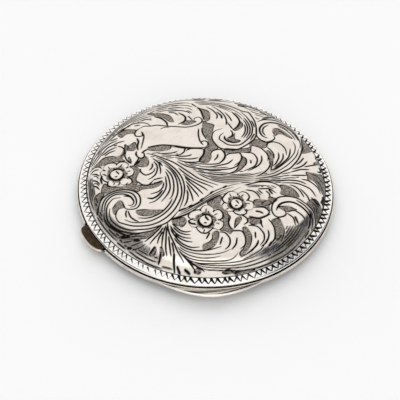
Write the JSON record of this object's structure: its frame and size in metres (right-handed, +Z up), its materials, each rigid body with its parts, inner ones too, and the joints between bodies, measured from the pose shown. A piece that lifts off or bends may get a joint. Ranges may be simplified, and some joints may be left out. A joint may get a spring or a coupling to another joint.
{
  "type": "compact mirror",
  "caption": "Round hinged silver compact with a domed engraved lid, zigzag-cut border, front thumb lip, a mirror in the lid and a gilt tabbed mirror leaf inside.",
  "frame": {"origin": "centre of the flat underside of the base, on the table, under the centre of the round rims", "axes": "+Z up through the crown of the closed lid, +Y towards the hinge, -Y towards the thumb lip"},
  "size_m": [0.07, 0.0717, 0.0122],
  "materials": {
    "silver": "hand-engraved silver, polished by handling, with dark tarnish left in the cuts",
    "gilt": "worn gilding, brown and satin",
    "mirror": "silvered glass",
    "packing": "plain packing card"
  },
  "bodies": {
    "base": {"base_shell": "silver", "thumb_lip": "silver", "base_bezel": "silver", "base_liner": "gilt", "base_hinge_plate": "silver", "base_knuckles": "silver", "hinge_pin": "silver", "catch_spring": "gilt"},
    "lid": {"lid_shell": "silver", "lid_hinge_plate": "silver", "lid_knuckles": "silver", "lid_catch": "silver", "mirror_bezel": "gilt", "mirror_glass": "mirror", "mirror_packing": "packing"},
    "leaf": {"leaf_frame": "gilt", "leaf_back_plate": "gilt", "leaf_glass": "mirror", "leaf_retaining_ring": "gilt", "leaf_knuckles": "gilt", "leaf_tab": "gilt"}
  },
  "joints": [
    {"name": "lid_hinge", "type": "hinge", "parent": "base", "child": "lid", "pos_m": [0, 0.033, 0.0039], "axis": [-1, 0, 0], "range_deg": [0, 120]},
    {"name": "leaf_hinge", "type": "hinge", "parent": "base", "child": "leaf", "pos_m": [0, 0.033, 0.0039], "axis": [-1, 0, 0], "range_deg": [0, 60]}
  ],
  "couplings": [
    {"joint": "leaf_hinge", "follows": "lid_hinge", "ratio": 0.5}
  ]
}
